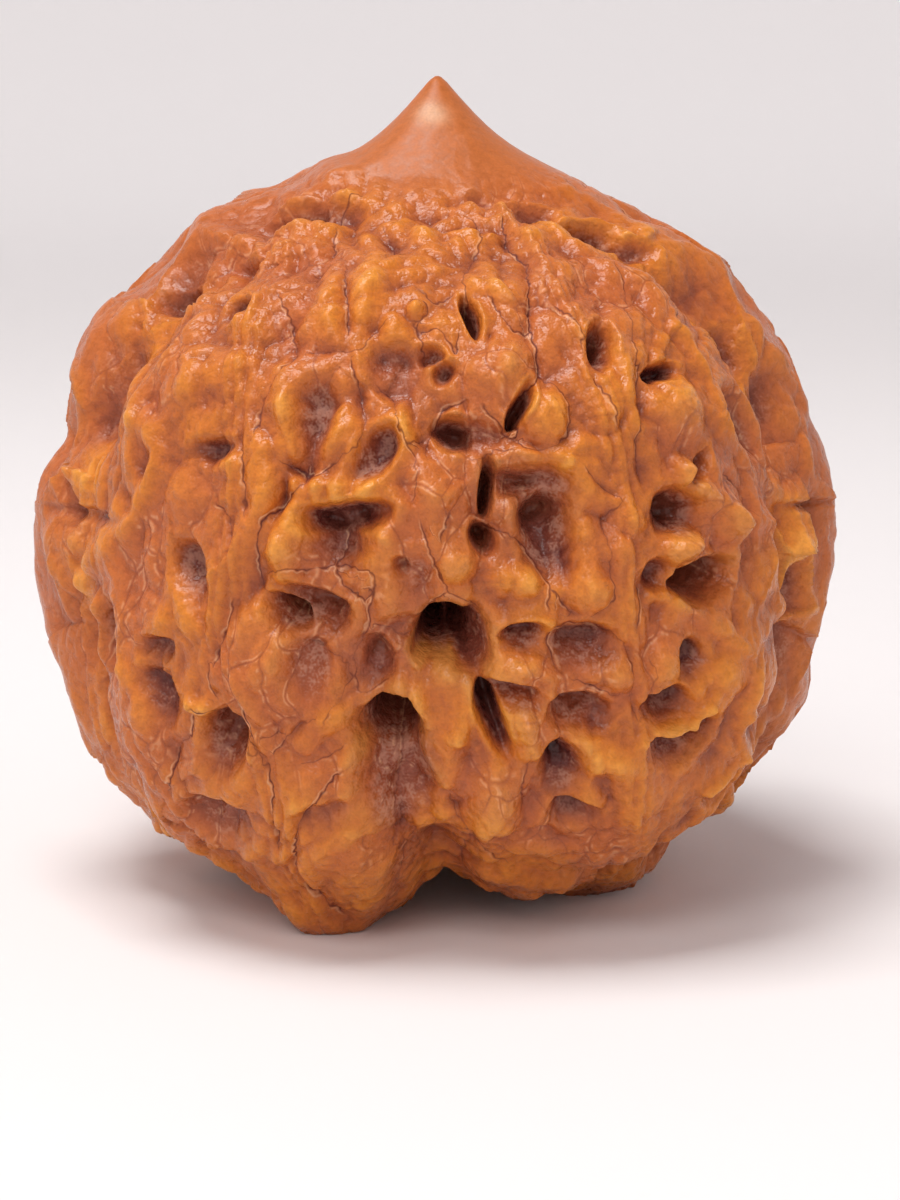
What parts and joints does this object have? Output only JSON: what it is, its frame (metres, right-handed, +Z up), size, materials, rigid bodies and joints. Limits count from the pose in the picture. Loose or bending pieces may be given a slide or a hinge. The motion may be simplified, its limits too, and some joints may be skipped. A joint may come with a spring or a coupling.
{
  "type": "walnut",
  "caption": "Round in-shell walnut with a deeply furrowed, ridged shell, seam wings at both sides and a smooth pointed tip, standing on the lobes of its base.",
  "frame": {"origin": "centre of the bounding box's bottom face, on the floor under the nut's middle", "axes": "+Z up through the tip; +X across the seam wings, to the right as seen from the front; -Y towards the front face"},
  "size_m": [0.0422, 0.04, 0.0423],
  "materials": {
    "shell": "oiled and handled until satin"
  },
  "bodies": {
    "root": {"walnut": "shell"}
  },
  "joints": []
}
